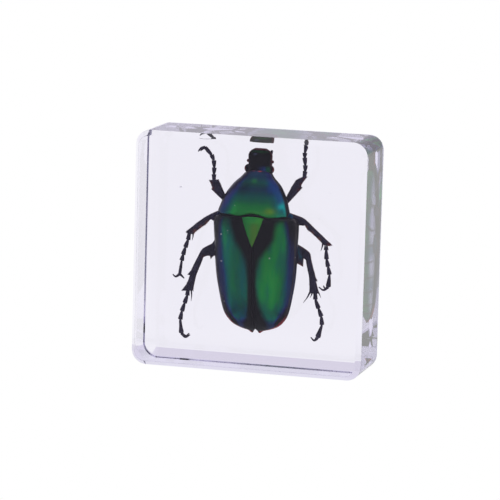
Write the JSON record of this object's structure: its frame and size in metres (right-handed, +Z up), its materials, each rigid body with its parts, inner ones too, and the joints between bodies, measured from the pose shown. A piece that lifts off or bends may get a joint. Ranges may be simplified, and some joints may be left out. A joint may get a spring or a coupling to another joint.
{
  "type": "insect specimen in clear resin block",
  "caption": "Square clear resin slab standing on edge with a green flower beetle sealed in it, back to the front, for display or study.",
  "frame": {"origin": "middle of the narrow face that the block stands on", "axes": "+Z up, towards the beetle's head; -Y out of the show face, which the beetle's back looks towards; +X to the right as the show face is seen"},
  "size_m": [0.038, 0.013, 0.038],
  "materials": {
    "clear_resin": "clear cast resin, polished, faint lavender tint",
    "beetle_shell": "dried beetle shell, metallic green on the back, black legs"
  },
  "bodies": {
    "root": {"resin_front_half": "clear_resin", "resin_back_half": "clear_resin", "beetle": "beetle_shell"}
  },
  "joints": []
}
